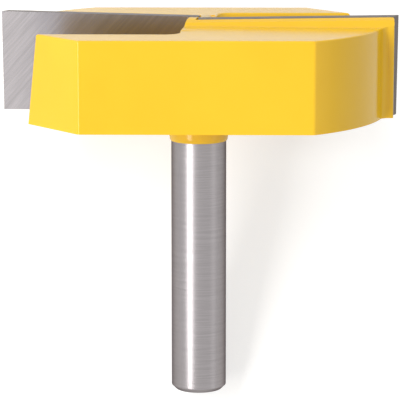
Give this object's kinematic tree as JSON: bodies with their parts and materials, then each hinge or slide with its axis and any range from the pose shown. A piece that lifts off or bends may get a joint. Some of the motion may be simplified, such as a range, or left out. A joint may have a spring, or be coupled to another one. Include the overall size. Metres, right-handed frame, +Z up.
{
  "type": "surfacing router bit",
  "caption": "Large-diameter surfacing router bit: a painted steel head with brazed carbide plates on a ground round shank.",
  "frame": {"origin": "on the ground, under the middle of the tool as it lies", "axes": "+Z up, +X along the cutting edges, +Y from the shank's end towards the head; the tool lies on the lower edge of its rear flat and the rim of its shank, so its own axis rises towards +Y by 23.2 degrees and the front flat looks up"},
  "size_m": [0.0572, 0.0594, 0.0443],
  "materials": {
    "painted_steel": "smooth satin enamel on the head and the root of the shank, bare ground steel on the shank",
    "ground_carbide": "finely ground, with a faint diagonal grain"
  },
  "bodies": {
    "root": {"steel_body": "painted_steel", "carbide_plate_left": "ground_carbide", "carbide_plate_right": "ground_carbide"}
  },
  "joints": []
}
